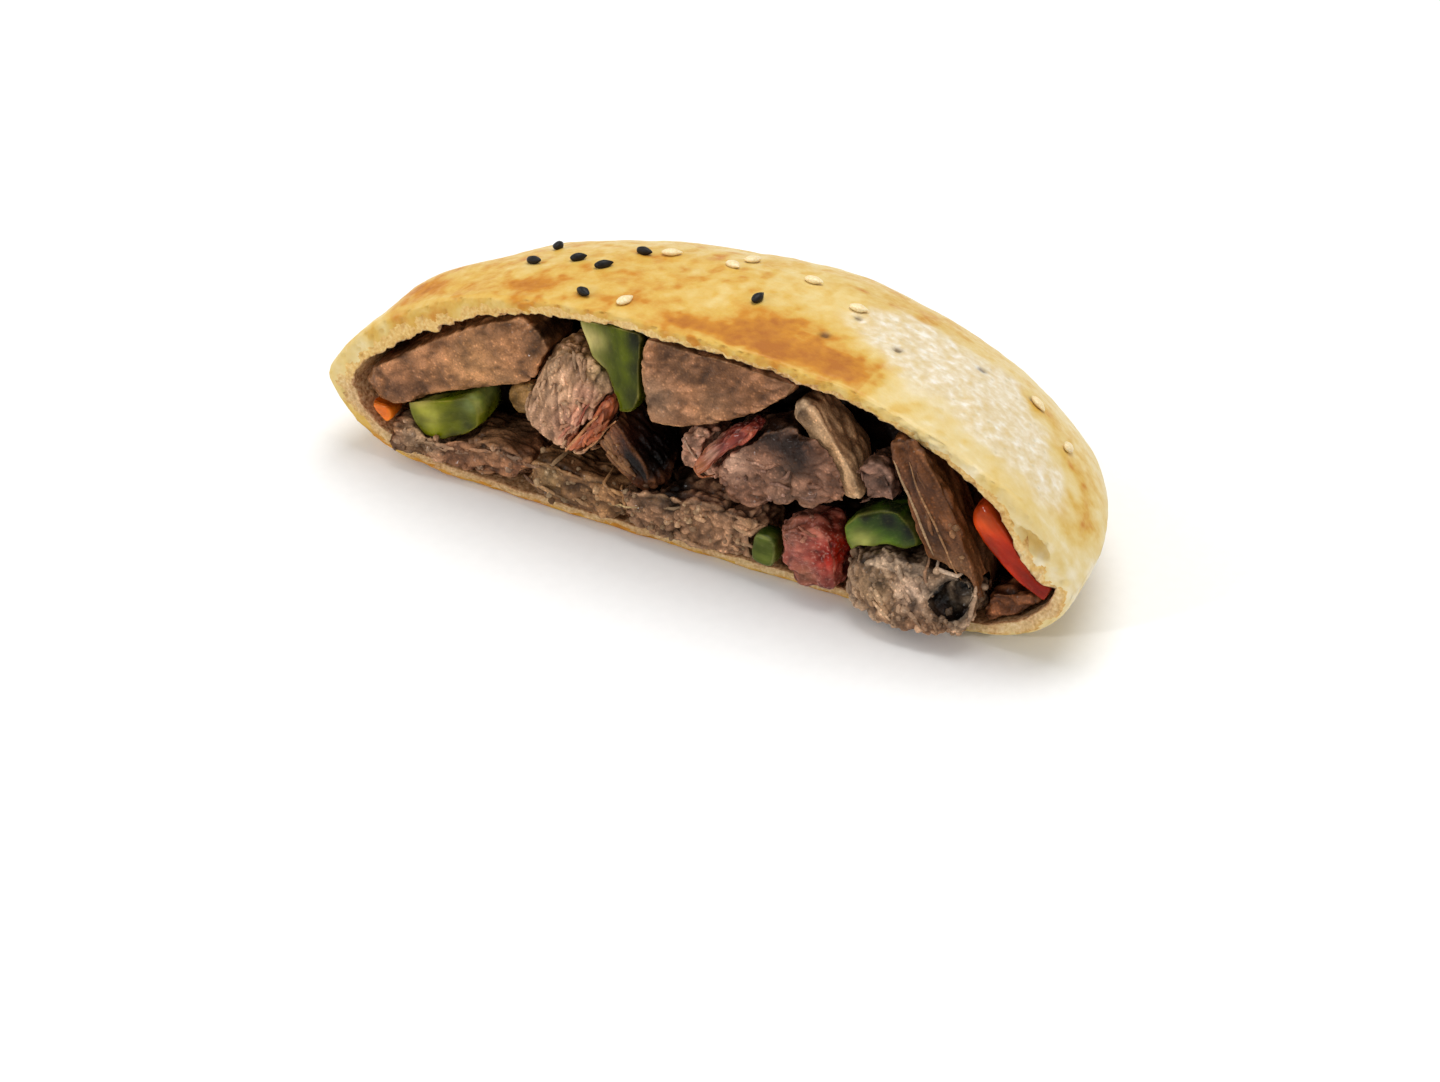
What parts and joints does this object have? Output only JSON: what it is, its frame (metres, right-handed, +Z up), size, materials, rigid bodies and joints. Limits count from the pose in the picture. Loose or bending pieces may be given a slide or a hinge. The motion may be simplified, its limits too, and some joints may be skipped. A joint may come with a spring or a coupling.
{
  "type": "lamb liver pie",
  "caption": "Half of a round filled bread, cut across to show its packed filling of liver, sweet pepper and tomato, with seeds on the baked crust.",
  "frame": {"origin": "on the flat underside, 22 mm behind the cut face, midway between the two ends of the cut", "axes": "the cut face looks along -Y, +X runs along the cut to the right as seen from the front, +Z is up"},
  "size_m": [0.1217, 0.0582, 0.0383],
  "materials": {
    "crust": "golden baked bread crust with a soft sheen",
    "liver": "moist cooked liver, grainy where it was cut",
    "core": "dark packed filling behind the pieces",
    "green_pepper": "glossy cooked green pepper",
    "orange_pepper": "glossy cooked orange pepper",
    "red_pepper": "glossy cooked red pepper",
    "tomato": "wet soft tomato flesh"
  },
  "bodies": {
    "root": {"crust": "crust", "filling_core": "core", "liver_low_right": "liver", "liver_long_right": "liver", "liver_centre_right": "liver", "liver_pink_bit": "liver", "liver_centre_left": "liver", "liver_centre_slab": "liver", "liver_low_middle": "liver", "liver_left_slab": "liver", "liver_low_left": "liver", "liver_band_left": "liver", "liver_band_middle": "liver", "liver_pale_middle": "liver", "liver_cream_strip": "liver", "liver_far_right": "liver", "liver_shadow_left": "liver", "green_pepper_left": "green_pepper", "green_pepper_middle": "green_pepper", "green_pepper_right": "green_pepper", "green_pepper_bit": "green_pepper", "orange_pepper_left": "orange_pepper", "red_pepper_right": "red_pepper", "tomato_chunk": "tomato", "tomato_shred_left": "tomato", "tomato_shred_right": "tomato"}
  },
  "joints": []
}
